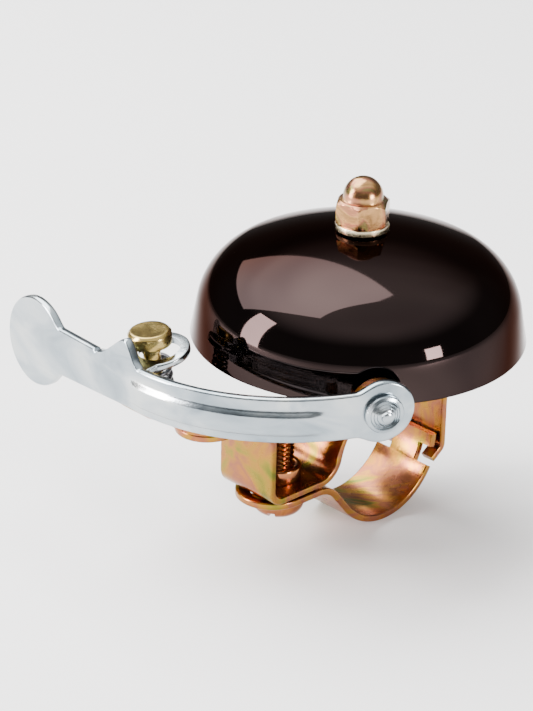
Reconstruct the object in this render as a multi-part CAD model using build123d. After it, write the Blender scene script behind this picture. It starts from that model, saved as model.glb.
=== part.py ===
"""Bicycle bell with a thumb lever, a sprung hammer and a two-piece handlebar clamp.

Millimetres. The origin is the centre of the handlebar bore. +Y runs along the
handlebar, +Z points up along the dome's axis, and -X faces the rider.
"""
from build123d import *
import math
import os

os.makedirs("parts", exist_ok=True)

# ---- driving dimensions ----------------------------------------------------
BAR_RADIUS = 11.1          # half of a 22.2 mm handlebar
SHEET = 1.2                # steel of the bracket, band and plates
STRAP_WIDTH = 12.0
DOME_X = -2.2              # the dome's axis stands this far from the bar's centre
RIM_Z = 20.6               # height of the dome's open edge
RIM_RADIUS = 27.5
DOME_WALL = 1.3
SKIRT_HEIGHT = 5.87        # straight, tapered part of the dome above its rim
SKIRT_TAPER = 10.5         # degrees
SHOULDER_RADIUS = 11.4
CROWN_RADIUS = 50.0

THREAD_RADIUS = 2.45       # M5 thread, modelled plain
RUNNING_GAP = 0.05         # radial clearance of a shaft that turns or slides
PLATE_BOTTOM = 12.6        # the base plate lies on the bracket's top here
PLATE_TOP = PLATE_BOTTOM + SHEET
PLATE_MID = PLATE_BOTTOM + SHEET / 2

POST_RADIUS = 4.0
NUT_ACROSS_FLATS = 8.0
NUT_HEX_HEIGHT = 4.0
NUT_CAP_RADIUS = 3.25
LOCK_WASHER_RADIUS = 4.35
LOCK_WASHER_HEIGHT = 1.2

SCREW_X = -19.4            # axis of the clamp screw
SCREW_HEAD_RADIUS = 4.25
SCREW_HEAD_HEIGHT = 3.1
SCREW_TIP_Z = 11.4
EAR_MID_Z = -2.1           # middle of the band's flat ear
COLLAR_RADIUS = 3.7
COLLAR_TOP_Z = 2.6

LEVER_SHEET = 1.4
LEVER_HEIGHT = 7.5
EYE_RADIUS = 5.1
EYE_DISTANCE = 30.6        # from the dome's axis to the middle of the eye's sheet
EYE_OFFSET = 6.68          # sideways from the dome's axis, towards the thumb pad
EYE_Z = RIM_Z + 1.1
PIVOT_RADIUS = 1.75
LEVER_STRAIGHT = 3.0       # flat length past the eye's centre
LEVER_BEND_RADIUS = 32.8
LEVER_BEND_ANGLE = 69.5    # degrees
LEVER_DROOP = 0.05         # fall of the lever per millimetre away from the eye
PAD_RADIUS = 7.8

HAMMER_LENGTH = 12.1       # from the arm's top face to the head's top
HAMMER_HEAD_RADIUS = 3.55
HAMMER_HEAD_HEIGHT = 2.5
HAMMER_NECK_RADIUS = 1.6
HAMMER_SHANK_RADIUS = 1.4
HAMMER_RADIUS_FROM_AXIS = 35.8
HAMMER_BEARING = 156.5     # degrees about the dome's axis, from +X
HAMMER_LEAN = 6.0          # degrees away from the dome
RING_RADIUS = 5.0          # tongue of the lever, around the hammer
RING_HOLE_RADIUS = 3.5
RING_BELOW_TOP = 4.1
RING_TILT = 12.0           # degrees, up towards the dome
SPRING_RADIUS = 2.75       # middle of the wire
SPRING_WIRE = 0.36         # wire radius
SPRING_TURNS = 4.5

# ---- clamp -----------------------------------------------------------------
LEG_X = 13.4               # middle of the bracket's straight leg
HOOK_Z = -3.3              # the leg kinks inward here
TOP_Z = PLATE_BOTTOM - SHEET / 2
SADDLE_START = 145         # degrees about the bar
SADDLE_END = 166
CHANNEL_Z = -0.6           # middle of the channel's floor
CHANNEL_X = -26.3          # middle of the channel's far wall
LOBE_X = -32.2             # rounded end of the bracket's flange
LOBE_Y = 3.6
LOBE_RADIUS = 5.1
SLOT_WIDTH = 7.0           # fork of the leg that holds the band's hook
ARM_RIVET_RADIUS = 2.0
BASE_RIVET_X = 6.5
BASE_RIVET_Y = 0.0
BASE_RIVET_RADIUS = 1.5
HOOK_START = -14           # degrees: lower edge of the band's hook
HOOK_END = -3
BAND_START = -30           # full width begins here
BAND_LEAVE = 219           # the band leaves the bar here
EAR_CORNER_RADIUS = 5.0
EAR_END_X = -20.9          # centre of the ear's round end
EAR_END_RADIUS = 6.0
EAR_SLOT_X = (-22.0, -19.3)
EAR_SLOT_RADIUS = 2.9

# ---- pivot ear, tongue and tail of the lever, arm ---------------------------
EAR_DISTANCE = 28.7        # from the dome's axis to the middle of the ear's sheet
EAR_SHEET = 1.4
EAR_RADIUS = 4.4
EAR_STRIP_WIDTH = 5.5
RING_SHIFT = 1.35          # the ring's hole sits this much nearer the dome
TONGUE_REACH = 11.0
TONGUE_WIDTH = 7.6
TAIL_FALL = 0.08          # the tail keeps falling a little towards the pad
TAIL_LENGTH = 26.9
TONGUE_SPAN = (-1.8, 0.8, 2.6, 9.2)
HUMP_HEIGHT = 3.6
TAB_END = -38.3            # edge of the arm's tab, just inside the lever
TAB_HALF = 4.15
SEAT_THICKNESS = 0.6

# ---- directions ------------------------------------------------------------
EYE_NORMAL = Vector(-0.4391, -0.8984, 0)    # outward through the lever's eye
EYE_ALONG = Vector(-0.8984, 0.4391, 0)      # from the eye towards the thumb pad
UP = Vector(0, 0, 1)
DOME_AXIS = Vector(DOME_X, 0, 0)


def node(name, shape):
    """Write one sub-part to its own STEP file."""
    shape.label = name
    export_step(shape, f"parts/{name}.step")


def upright(x, y, bottom, top, radius):
    """Vertical round bar between two heights."""
    bar = Cylinder(radius, top - bottom, align=(Align.CENTER, Align.CENTER, Align.MIN))
    return Pos(x, y, bottom) * bar


def along(origin, direction, start, length, radius):
    """Round bar on an axis, starting a distance along it."""
    plane = Plane(origin=origin + direction * start, z_dir=direction)
    return plane * Cylinder(radius, length, align=(Align.CENTER, Align.CENTER, Align.MIN))


def bent_sheet(path, thickness, width, across):
    """Sheet of one thickness that follows a path; across is its width's direction."""
    start = Plane(origin=path @ 0, x_dir=across, z_dir=path % 0)
    return sweep(start * Rectangle(width, thickness), path=path)


def bar_point(angle, radius=BAR_RADIUS + SHEET / 2):
    """Point on a circle about the handlebar, in the XZ plane."""
    turn = math.radians(angle)
    return Vector(radius * math.cos(turn), 0, radius * math.sin(turn))


def bar_arc(start, end):
    """Middle line of a sheet that hugs the handlebar."""
    return ThreePointArc(bar_point(start), bar_point((start + end) / 2), bar_point(end))


def tangent_corner(angle, height):
    """Where the tangent of the bar's arc at an angle meets a height."""
    radius = BAR_RADIUS + SHEET / 2
    turn = math.radians(angle)
    return Vector((radius - height * math.sin(turn)) / math.cos(turn), 0, height)


# ---- dome and its stack ----------------------------------------------------
def dome_outline(inset):
    """Points of the dome's outer or inner line: rim, skirt, shoulder and crown."""
    taper = math.radians(SKIRT_TAPER)
    inward = Vector(-math.cos(taper), 0, -math.sin(taper))
    skirt_top = Vector(RIM_RADIUS - SKIRT_HEIGHT * math.tan(taper), 0, SKIRT_HEIGHT)
    shoulder = skirt_top + inward * SHOULDER_RADIUS
    reach = CROWN_RADIUS - SHOULDER_RADIUS
    crown_z = shoulder.Z - math.sqrt(reach ** 2 - shoulder.X ** 2)
    join_turn = math.atan2(shoulder.Z - crown_z, shoulder.X)

    def on_circle(centre, radius, turn):
        return centre + Vector(math.cos(turn), 0, math.sin(turn)) * radius

    crown = Vector(0, 0, crown_z)
    small = SHOULDER_RADIUS - inset
    large = CROWN_RADIUS - inset
    rim = Vector(RIM_RADIUS - inset / math.cos(taper), 0, 0)
    skirt_end = on_circle(shoulder, small, taper)
    middle = on_circle(shoulder, small, (taper + join_turn) / 2)
    join = on_circle(shoulder, small, join_turn)
    crown_middle = on_circle(crown, large, (join_turn + math.pi / 2) / 2)
    apex = on_circle(crown, large, math.pi / 2)
    return [rim, skirt_end, middle, join, crown_middle, apex]


def dome_line(points):
    """Edges through the outline's points, rim to apex."""
    rim, skirt_end, middle, join, crown_middle, apex = points
    skirt = Line(rim, skirt_end)
    shoulder = ThreePointArc(skirt_end, middle, join)
    crown = ThreePointArc(join, crown_middle, apex)
    return [skirt, shoulder, crown]


outer_points = dome_outline(0)
inner_points = dome_outline(DOME_WALL)
APEX_Z = RIM_Z + outer_points[-1].Z
CROWN_UNDERSIDE_Z = RIM_Z + inner_points[-1].Z


def make_dome():
    """Spun bell cup with a central hole for the post's thread."""
    edges = dome_line(outer_points) + dome_line(inner_points)
    edges.append(Line(outer_points[0], inner_points[0]))
    edges.append(Line(outer_points[-1], inner_points[-1]))
    cup = revolve(make_face(edges), Axis.Z)
    return Pos(DOME_X, 0, RIM_Z) * cup - upright(DOME_X, 0, RIM_Z, APEX_Z + 1, THREAD_RADIUS + 0.15)


SEAT_TOP = CROWN_UNDERSIDE_Z - 0.22         # the crown curves down at the washer's edge
SEAT_HEIGHT = 0.8
POST_TOP = SEAT_TOP - SEAT_HEIGHT
THREAD_TOP = APEX_Z + LOCK_WASHER_HEIGHT + NUT_HEX_HEIGHT


def make_seat_washer():
    """Fibre washer between the post's shoulder and the dome."""
    disc = upright(DOME_X, 0, POST_TOP, SEAT_TOP, 4.4)
    return disc - upright(DOME_X, 0, POST_TOP, SEAT_TOP, THREAD_RADIUS + 0.15)


def make_post():
    """Shouldered post: stub through both plates, flange, column and M5 stud."""
    stub = upright(DOME_X, 0, PLATE_BOTTOM - SHEET + 0.05, PLATE_TOP, 2.5)
    flange = upright(DOME_X, 0, PLATE_TOP, PLATE_TOP + 1.2, 5.2)
    column = upright(DOME_X, 0, PLATE_TOP, POST_TOP, POST_RADIUS)
    stud = upright(DOME_X, 0, POST_TOP, THREAD_TOP, THREAD_RADIUS)
    return stub + flange + column + stud


def make_lock_washer():
    """Split spring washer under the cap nut."""
    ring = upright(DOME_X, 0, APEX_Z, APEX_Z + LOCK_WASHER_HEIGHT, LOCK_WASHER_RADIUS)
    ring -= upright(DOME_X, 0, APEX_Z, APEX_Z + LOCK_WASHER_HEIGHT, 2.65)
    split = Rot(0, 0, -8) * Rot(25, 0, 0) * Box(6, 0.7, 4)
    return ring - Pos(DOME_X + LOCK_WASHER_RADIUS, -0.6, APEX_Z + LOCK_WASHER_HEIGHT / 2) * split


def make_cap_nut():
    """Domed nut with a blind thread."""
    bottom = APEX_Z + LOCK_WASHER_HEIGHT
    hexagon = RegularPolygon(NUT_ACROSS_FLATS / 2, 6, major_radius=False, rotation=36)
    body = Pos(DOME_X, 0, bottom) * extrude(hexagon, NUT_HEX_HEIGHT)
    chamfer_height = 0.55
    corner = NUT_ACROSS_FLATS / math.sqrt(3)
    trim = Pos(DOME_X, 0, bottom) * Cylinder(corner + 0.05, NUT_HEX_HEIGHT - chamfer_height,
                                             align=(Align.CENTER, Align.CENTER, Align.MIN))
    bevel = Pos(DOME_X, 0, bottom + NUT_HEX_HEIGHT - chamfer_height) * Cone(
        corner + 0.05, corner - 0.75, chamfer_height,
        align=(Align.CENTER, Align.CENTER, Align.MIN))
    body = body & (trim + bevel)
    waist = upright(DOME_X, 0, bottom + NUT_HEX_HEIGHT - 0.3, bottom + NUT_HEX_HEIGHT + 0.5,
                    NUT_CAP_RADIUS)
    ball = Pos(DOME_X, 0, bottom + NUT_HEX_HEIGHT + 0.5) * Sphere(NUT_CAP_RADIUS)
    upper = Pos(DOME_X, 0, bottom + NUT_HEX_HEIGHT + 0.5) * Cylinder(
        NUT_CAP_RADIUS + 1, NUT_CAP_RADIUS + 1, align=(Align.CENTER, Align.CENTER, Align.MIN))
    bore = upright(DOME_X, 0, bottom, THREAD_TOP + 0.4, THREAD_RADIUS + 0.02)
    return body + waist + (ball & upper) - bore


# ---- handlebar clamp -------------------------------------------------------


def make_bracket():
    """Bent strap: hooked leg, flat top, saddle on the bar, screw channel and flange."""
    lip = Vector(11.05, 0, -5.0)
    kink = Vector(LEG_X, 0, HOOK_Z)
    shoulder = Vector(LEG_X, 0, TOP_Z)
    saddle_corner = tangent_corner(SADDLE_START, TOP_Z)
    first = FilletPolyline(lip, kink, shoulder, saddle_corner, bar_point(SADDLE_START),
                           radius=[1.4, 2.2, 3.0])
    saddle = bar_arc(SADDLE_START, SADDLE_END)
    wall_end = bar_point(SADDLE_END)
    turn = math.radians(SADDLE_END)
    fall = (wall_end.Z - CHANNEL_Z) / -math.cos(turn)
    floor_corner = wall_end + Vector(-math.sin(turn), 0, math.cos(turn)) * fall
    second = FilletPolyline(wall_end, floor_corner, Vector(CHANNEL_X, 0, CHANNEL_Z),
                            Vector(CHANNEL_X, 0, TOP_Z), Vector(LOBE_X, 0, TOP_Z),
                            radius=[4.0, 2.2, 2.0])
    path = Wire([*first.edges(), saddle, *second.edges()])
    strap = bent_sheet(path, SHEET, STRAP_WIDTH, Vector(0, 1, 0))
    flange_bottom = TOP_Z - SHEET / 2
    corner = Pos(LOBE_X + 1, -5.2, TOP_Z) * Box(5, 7.4, 3 * SHEET)
    strap -= corner
    strap -= Pos(LOBE_X - 6, 0, TOP_Z) * Box(12, 40, 3 * SHEET)
    strap += upright(LOBE_X, LOBE_Y, flange_bottom, TOP_Z + SHEET / 2, LOBE_RADIUS)
    fork = Pos(11.0, 0, -5.0) * Box(5.6, SLOT_WIDTH, 6)
    collar = upright(SCREW_X, 0, CHANNEL_Z - SHEET / 2, COLLAR_TOP_Z, COLLAR_RADIUS)
    strap = strap - fork + collar
    strap -= upright(SCREW_X, 0, -3, 4, THREAD_RADIUS + RUNNING_GAP)
    strap -= upright(LOBE_X, LOBE_Y, 10, 14, ARM_RIVET_RADIUS)
    strap -= upright(DOME_X, 0, 10, 14, 2.5)
    strap -= upright(BASE_RIVET_X, BASE_RIVET_Y, 10, 14, BASE_RIVET_RADIUS)
    return strap


def make_band():
    """Lower half of the clamp: hook, arc under the bar and slotted screw ear."""
    leave = bar_point(BAND_LEAVE)
    turn = math.radians(BAND_LEAVE)
    direction = Vector(math.sin(turn), 0, -math.cos(turn))
    rise = (EAR_MID_Z - leave.Z) / direction.Z
    corner = leave + direction * rise
    arc = bar_arc(BAND_START, BAND_LEAVE - 360)
    tail = FilletPolyline(leave, corner, Vector(EAR_END_X, 0, EAR_MID_Z), radius=EAR_CORNER_RADIUS)
    band = bent_sheet(Wire([arc, *tail.edges()]), SHEET, STRAP_WIDTH, Vector(0, 1, 0))
    neck = bent_sheet(bar_arc(BAND_START - 1, HOOK_END - 1), SHEET, SLOT_WIDTH - 1.0, Vector(0, 1, 0))
    hook = bent_sheet(bar_arc(HOOK_START, HOOK_END), SHEET, STRAP_WIDTH - 1.0, Vector(0, 1, 0))
    low = EAR_MID_Z - SHEET / 2
    high = EAR_MID_Z + SHEET / 2
    end = upright(EAR_END_X, 0, low, high, EAR_END_RADIUS)
    slot_left, slot_right = EAR_SLOT_X
    slot = upright(slot_left, 0, low - 1, high + 1, EAR_SLOT_RADIUS)
    slot += upright(slot_right, 0, low - 1, high + 1, EAR_SLOT_RADIUS)
    slot += Pos((slot_left + slot_right) / 2, 0, EAR_MID_Z) * Box(
        slot_right - slot_left, 2 * EAR_SLOT_RADIUS, SHEET + 2)
    return band + neck + hook + end - slot


def make_screw():
    """Slotted pan-head M5 screw that draws the band up to the bracket."""
    head_top = EAR_MID_Z - SHEET / 2 - 0.3
    head_bottom = head_top - SCREW_HEAD_HEIGHT
    head = upright(SCREW_X, 0, head_bottom, head_top, SCREW_HEAD_RADIUS)
    head = fillet(head.edges().filter_by(GeomType.CIRCLE).sort_by(Axis.Z)[0], 1.5)
    shank = upright(SCREW_X, 0, head_top, SCREW_TIP_Z, THREAD_RADIUS)
    shank = chamfer(shank.edges().filter_by(GeomType.CIRCLE).sort_by(Axis.Z)[-1], 0.6)
    driver_slot = Pos(SCREW_X, 0, head_bottom + 0.6) * Rot(0, 0, 30) * Box(10, 1.2, 1.2)
    return head + shank - driver_slot


# ---- base plate with the lever's ear --------------------------------------
def eye_axis_point(distance):
    """Point on the lever's pivot axis, a distance out from the dome's axis."""
    return DOME_AXIS + EYE_NORMAL * distance + EYE_ALONG * EYE_OFFSET + UP * EYE_Z


def make_base_plate():
    """Plate under the post; its arm rises outside the rim and ends in the pivot ear."""
    def at(distance, height):
        return DOME_AXIS + EYE_NORMAL * distance + EYE_ALONG * EYE_OFFSET + UP * height

    path = FilletPolyline(at(1.0, PLATE_MID), at(16.0, PLATE_MID), at(EAR_DISTANCE, 17.0),
                          at(EAR_DISTANCE, EYE_Z), radius=[4.0, 2.0])
    strip = bent_sheet(Wire(path.edges()), SHEET, EAR_STRIP_WIDTH, EYE_ALONG)
    ear = along(eye_axis_point(0), EYE_NORMAL, EAR_DISTANCE - EAR_SHEET / 2, EAR_SHEET, EAR_RADIUS)
    pad = upright(DOME_X, 0, PLATE_BOTTOM, PLATE_TOP, 7.0)
    pad += upright(BASE_RIVET_X, 0, PLATE_BOTTOM, PLATE_TOP, 4.0)
    pad += Pos((DOME_X + BASE_RIVET_X) / 2, 0, PLATE_MID) * Box(BASE_RIVET_X - DOME_X, 8, SHEET)
    root = at(1.0, 0)
    pad += upright(root.X, root.Y, PLATE_BOTTOM, PLATE_TOP, EAR_STRIP_WIDTH / 2)
    plate = pad + strip + ear
    plate -= along(eye_axis_point(0), EYE_NORMAL, EAR_DISTANCE - 2, 4, PIVOT_RADIUS)
    plate -= upright(DOME_X, 0, 10, 15, 2.5)
    plate -= upright(BASE_RIVET_X, BASE_RIVET_Y, 10, 15, BASE_RIVET_RADIUS)
    return plate


def flush_rivet(x, y, bottom, top, radius, head_radius, head_height):
    """Rivet with a domed head on top and a tail peened flush."""
    shank = upright(x, y, bottom, top, radius)
    dome = Sphere((head_radius ** 2 + head_height ** 2) / (2 * head_height))
    cap = Pos(x, y, top + head_height - dome.radius) * dome
    return shank + (cap & upright(x, y, top, top + head_height + 1, head_radius))


def make_base_rivet():
    """Small rivet that stops the base plate turning on the bracket."""
    return flush_rivet(BASE_RIVET_X, BASE_RIVET_Y, PLATE_BOTTOM - SHEET, PLATE_TOP,
                       BASE_RIVET_RADIUS, 2.6, 1.0)


def make_lever_rivet():
    """Shouldered pivot rivet with a broad turned head."""
    tail = EAR_DISTANCE - EAR_SHEET / 2
    head = EYE_DISTANCE + LEVER_SHEET / 2 + 0.1
    shank = along(eye_axis_point(0), EYE_NORMAL, tail, head - tail, PIVOT_RADIUS)
    rim = along(eye_axis_point(0), EYE_NORMAL, head, 0.8, 3.1)
    dome_height = 1.3
    ball_radius = (3.1 ** 2 + dome_height ** 2) / (2 * dome_height)
    centre = eye_axis_point(head + 0.8 + dome_height - ball_radius)
    ball = Pos(centre.X, centre.Y, centre.Z) * Sphere(ball_radius)
    cap = ball & along(eye_axis_point(0), EYE_NORMAL, head + 0.8, 3, 3.1)
    return shank + rim + cap


def make_pivot_washer():
    """Thin washer between the ear and the lever."""
    start = EAR_DISTANCE + EAR_SHEET / 2
    disc = along(eye_axis_point(0), EYE_NORMAL, start, 0.4, 4.0)
    return disc - along(eye_axis_point(0), EYE_NORMAL, start - 1, 3, PIVOT_RADIUS)


# ---- hammer, arm and spring ------------------------------------------------
bearing = math.radians(HAMMER_BEARING)
OUTWARD = Vector(math.cos(bearing), math.sin(bearing), 0)
lean = math.radians(HAMMER_LEAN)
HAMMER_AXIS = OUTWARD * math.sin(lean) + UP * math.cos(lean)
ARM_TOP = PLATE_TOP
hammer_run = HAMMER_LENGTH * math.tan(lean)
HAMMER_FOOT = DOME_AXIS + OUTWARD * (HAMMER_RADIUS_FROM_AXIS - hammer_run) + UP * ARM_TOP
HEAD_TOP_REACH = HAMMER_LENGTH / math.cos(lean)


def make_hammer():
    """Brass hammer: head, neck and shank, with a peened foot under the arm."""
    head_start = HEAD_TOP_REACH - HAMMER_HEAD_HEIGHT
    head = along(HAMMER_FOOT, HAMMER_AXIS, head_start, HAMMER_HEAD_HEIGHT, HAMMER_HEAD_RADIUS)
    head = chamfer(head.edges().filter_by(GeomType.CIRCLE).sort_by(Axis.Z)[-1], 0.3)
    neck = along(HAMMER_FOOT, HAMMER_AXIS, head_start - 1.4, 1.5, HAMMER_NECK_RADIUS)
    foot_start = -SHEET - 0.8
    shank = along(HAMMER_FOOT, HAMMER_AXIS, foot_start, head_start - foot_start, HAMMER_SHANK_RADIUS)
    foot = along(HAMMER_FOOT, HAMMER_AXIS, foot_start - 0.8, 0.8, 2.4)
    return head + neck + shank + foot


def make_arm():
    """Plate that carries the hammer: round riveted end, neck and square tab."""
    foot = HAMMER_FOOT
    tab_width = foot.X + 4.6 - TAB_END
    tab = extrude(RectangleRounded(tab_width, 2 * TAB_HALF, 1.1), SHEET)
    arm = Pos((TAB_END + foot.X + 4.6) / 2, foot.Y, PLATE_BOTTOM) * tab
    arm += upright(LOBE_X, LOBE_Y, PLATE_BOTTOM, PLATE_TOP, LOBE_RADIUS)
    neck_left = TAB_END + 0.9
    neck_right = LOBE_X + 2.6
    neck_length = foot.Y - LOBE_Y
    arm += Pos((neck_left + neck_right) / 2, LOBE_Y + neck_length / 2, PLATE_MID) * Box(
        neck_right - neck_left, neck_length, SHEET)
    arm -= upright(foot.X, foot.Y, 10, 16, 2.1)
    arm -= upright(LOBE_X, LOBE_Y, 10, 16, ARM_RIVET_RADIUS)
    return arm


def make_arm_rivet():
    """Rivet that fixes the arm on the bracket's flange."""
    return flush_rivet(LOBE_X, LOBE_Y, PLATE_BOTTOM - SHEET, PLATE_TOP, ARM_RIVET_RADIUS, 3.2, 1.1)


def make_spring_seat():
    """Washer that the coil spring stands on."""
    low = PLATE_TOP
    ring = upright(HAMMER_FOOT.X, HAMMER_FOOT.Y, low, low + SEAT_THICKNESS, 3.4)
    return ring - upright(HAMMER_FOOT.X, HAMMER_FOOT.Y, low, low + SEAT_THICKNESS, 2.1)


RING_REACH = HEAD_TOP_REACH - RING_BELOW_TOP
SPRING_START = SEAT_THICKNESS + 2 * SPRING_WIRE + 0.15
SPRING_END = RING_REACH - LEVER_SHEET / 2 - 2 * SPRING_WIRE - 0.45


def make_spring():
    """Coil spring around the hammer's shank."""
    length = SPRING_END - SPRING_START
    coil = Helix(pitch=length / SPRING_TURNS, height=length, radius=SPRING_RADIUS)
    section = Plane(origin=coil @ 0, z_dir=coil % 0) * Circle(SPRING_WIRE)
    wire = sweep(section, path=coil, is_frenet=True)
    return Plane(origin=HAMMER_FOOT + HAMMER_AXIS * SPRING_START, z_dir=HAMMER_AXIS) * wire


# ---- lever -----------------------------------------------------------------
def make_lever():
    """Bent sheet lever: eye, curved web, tongue around the hammer and thumb pad."""
    centre = eye_axis_point(EYE_DISTANCE)
    heading = math.atan2(EYE_ALONG.Y, EYE_ALONG.X)
    tall = 40.0
    bend_start = centre + EYE_ALONG * LEVER_STRAIGHT
    bend_centre = bend_start - EYE_NORMAL * LEVER_BEND_RADIUS
    ring = Cylinder(LEVER_BEND_RADIUS + LEVER_SHEET / 2, tall)
    ring -= Cylinder(LEVER_BEND_RADIUS - LEVER_SHEET / 2, tall)
    start_turn = math.degrees(heading) + 90
    wedge = extrude(make_face([
        Line((0, 0), polar(60, start_turn)),
        Line(polar(60, start_turn), polar(60, start_turn - LEVER_BEND_ANGLE)),
        Line(polar(60, start_turn - LEVER_BEND_ANGLE), (0, 0))]), tall)
    curve = Pos(bend_centre.X, bend_centre.Y, EYE_Z) * (ring & Pos(0, 0, -tall / 2) * wedge)
    straight_length = LEVER_STRAIGHT
    flat = Plane(origin=centre + EYE_ALONG * (straight_length / 2), x_dir=EYE_ALONG,
                 z_dir=EYE_NORMAL) * Box(straight_length, tall, LEVER_SHEET)
    tilt = math.degrees(math.atan(LEVER_DROOP))
    slab = Plane(origin=centre, x_dir=EYE_ALONG, z_dir=EYE_NORMAL) * Rot(0, 0, tilt) * Box(
        130, LEVER_HEIGHT, 200)
    arm = (curve + flat) & slab
    eye = along(eye_axis_point(0), EYE_NORMAL, EYE_DISTANCE - LEVER_SHEET / 2, LEVER_SHEET, EYE_RADIUS)
    arm += eye
    end_turn = math.radians(start_turn - LEVER_BEND_ANGLE)
    radial = Vector(math.cos(end_turn), math.sin(end_turn), 0)
    onward = Vector(math.sin(end_turn), -math.cos(end_turn), 0)
    bend_end = bend_centre + radial * LEVER_BEND_RADIUS
    drop = LEVER_DROOP * (bend_end - centre).dot(EYE_ALONG)
    tail_plane = Plane(origin=Vector(bend_end.X, bend_end.Y, EYE_Z - drop), x_dir=onward, z_dir=-radial)
    tail = extrude(tail_plane * tail_outline(), LEVER_SHEET / 2, both=True)
    ring_centre = HAMMER_FOOT + HAMMER_AXIS * RING_REACH - OUTWARD * RING_SHIFT
    rise = math.radians(RING_TILT)
    inward = radial * (-math.cos(rise)) + UP * math.sin(rise)
    ring_up = radial * math.sin(rise) + UP * math.cos(rise)
    tongue_plane = Plane(origin=ring_centre, x_dir=inward, z_dir=ring_up)
    tongue = tongue_plane * Cylinder(RING_RADIUS, 1.2)
    tongue += tongue_plane * Pos(-TONGUE_REACH / 2, 0, 0) * Box(TONGUE_REACH, TONGUE_WIDTH, 1.2)
    outside = Plane(origin=Vector(bend_end.X, bend_end.Y, EYE_Z), x_dir=onward, z_dir=radial)
    keep_in = outside * Pos(0, 0, -LEVER_BEND_RADIUS / 2) * Box(90, 60, LEVER_BEND_RADIUS)
    lever = arm + tail + (tongue & keep_in)
    lever -= tongue_plane * Cylinder(RING_HOLE_RADIUS, 6)
    lever -= along(eye_axis_point(0), EYE_NORMAL, EYE_DISTANCE - 3, 6, PIVOT_RADIUS + RUNNING_GAP)
    return lever


def polar(radius, angle):
    """Plane point from a radius and an angle in degrees."""
    turn = math.radians(angle)
    return (radius * math.cos(turn), radius * math.sin(turn))


def tail_outline():
    """Side view of the lever past its bend, as lengths along the sheet and heights."""
    half = LEVER_HEIGHT / 2
    hump_start, hump_low, hump_high, hump_end = TONGUE_SPAN
    notch = hump_end + 0.4
    pad_x = TAIL_LENGTH
    pad_z = -TAIL_FALL * TAIL_LENGTH
    neck_x = pad_x - 6.5

    def mid(x):
        return -TAIL_FALL * x

    points = [
        (hump_start - 0.3, mid(0) - half),
        (neck_x, mid(neck_x) - 4.0),
        (pad_x, pad_z - 4.0),
        (pad_x, pad_z + 4.2),
        (neck_x, mid(neck_x) + 4.2),
        (notch, mid(notch) + half),
        (hump_end, mid(hump_end) + half + 0.6),
        (hump_high, mid(hump_high) + half + HUMP_HEIGHT),
        (hump_low, mid(hump_low) + half + HUMP_HEIGHT),
        (hump_start, mid(hump_start) + half),
        (hump_start - 0.3, mid(0) + half)]
    web = make_face(Polyline(*points, close=True))
    return web + Pos(pad_x, pad_z) * Circle(PAD_RADIUS)


node("bell_dome", make_dome())
node("seat_washer", make_seat_washer())
node("dome_post", make_post())
node("lock_washer", make_lock_washer())
node("cap_nut", make_cap_nut())
node("clamp_bracket", make_bracket())
node("clamp_band", make_band())
node("clamp_screw", make_screw())
node("base_plate", make_base_plate())
node("base_rivet", make_base_rivet())
node("lever_rivet", make_lever_rivet())
node("pivot_washer", make_pivot_washer())
node("hammer", make_hammer())
node("hammer_arm", make_arm())
node("arm_rivet", make_arm_rivet())
node("spring_seat", make_spring_seat())
node("hammer_spring", make_spring())
node("lever", make_lever())
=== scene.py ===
"""Bicycle bell: the visual model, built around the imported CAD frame."""

import math

import bmesh
import bpy
from mathutils import Matrix, Vector


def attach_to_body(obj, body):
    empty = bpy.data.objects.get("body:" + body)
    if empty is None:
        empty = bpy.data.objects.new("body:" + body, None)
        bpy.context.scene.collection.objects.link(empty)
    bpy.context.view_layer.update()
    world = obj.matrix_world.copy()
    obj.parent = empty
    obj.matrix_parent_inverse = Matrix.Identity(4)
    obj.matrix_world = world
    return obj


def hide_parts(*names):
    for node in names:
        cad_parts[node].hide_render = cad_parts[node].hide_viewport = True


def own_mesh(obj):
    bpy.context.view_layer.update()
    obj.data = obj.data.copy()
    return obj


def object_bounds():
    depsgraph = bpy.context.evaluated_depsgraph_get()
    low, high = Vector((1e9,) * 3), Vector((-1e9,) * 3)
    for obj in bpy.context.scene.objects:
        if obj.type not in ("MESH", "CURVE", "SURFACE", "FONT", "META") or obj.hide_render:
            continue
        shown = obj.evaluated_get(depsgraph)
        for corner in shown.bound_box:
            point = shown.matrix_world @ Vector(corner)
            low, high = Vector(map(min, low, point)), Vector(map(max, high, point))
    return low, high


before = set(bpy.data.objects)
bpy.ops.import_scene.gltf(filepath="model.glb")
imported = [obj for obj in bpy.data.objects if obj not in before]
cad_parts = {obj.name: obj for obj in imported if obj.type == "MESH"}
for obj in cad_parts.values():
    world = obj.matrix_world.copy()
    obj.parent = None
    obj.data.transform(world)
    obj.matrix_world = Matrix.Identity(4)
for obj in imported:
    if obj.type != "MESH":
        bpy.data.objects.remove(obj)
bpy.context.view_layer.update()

MM = 0.001

# ---- driving dimensions, in millimetres, as in the CAD ------------------------
BAR_RADIUS = 11.1
SHEET = 1.2
STRAP_WIDTH = 12.0
DOME_X = -2.2
RIM_Z = 20.6
RIM_RADIUS = 27.5
DOME_WALL = 1.3
SKIRT_HEIGHT = 5.87
SKIRT_TAPER = math.radians(10.5)
SHOULDER_RADIUS = 11.4
CROWN_RADIUS = 50.0
APEX_Z = 38.91
PLATE_BOTTOM = 12.6
PLATE_TOP = PLATE_BOTTOM + SHEET
THREAD_RADIUS = 2.45
NUT_ACROSS_FLATS = 8.0
NUT_HEX_HEIGHT = 4.0
NUT_CAP_RADIUS = 3.25
NUT_TURN = math.radians(66)
LOCK_WASHER_RADIUS = 4.35
LOCK_WASHER_HEIGHT = 1.2
SCREW_X = -19.4
SCREW_HEAD_RADIUS = 4.25
SCREW_HEAD_HEIGHT = 3.1
SCREW_TIP_Z = 11.4
EAR_MID_Z = -2.1
COLLAR_RADIUS = 3.7
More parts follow.
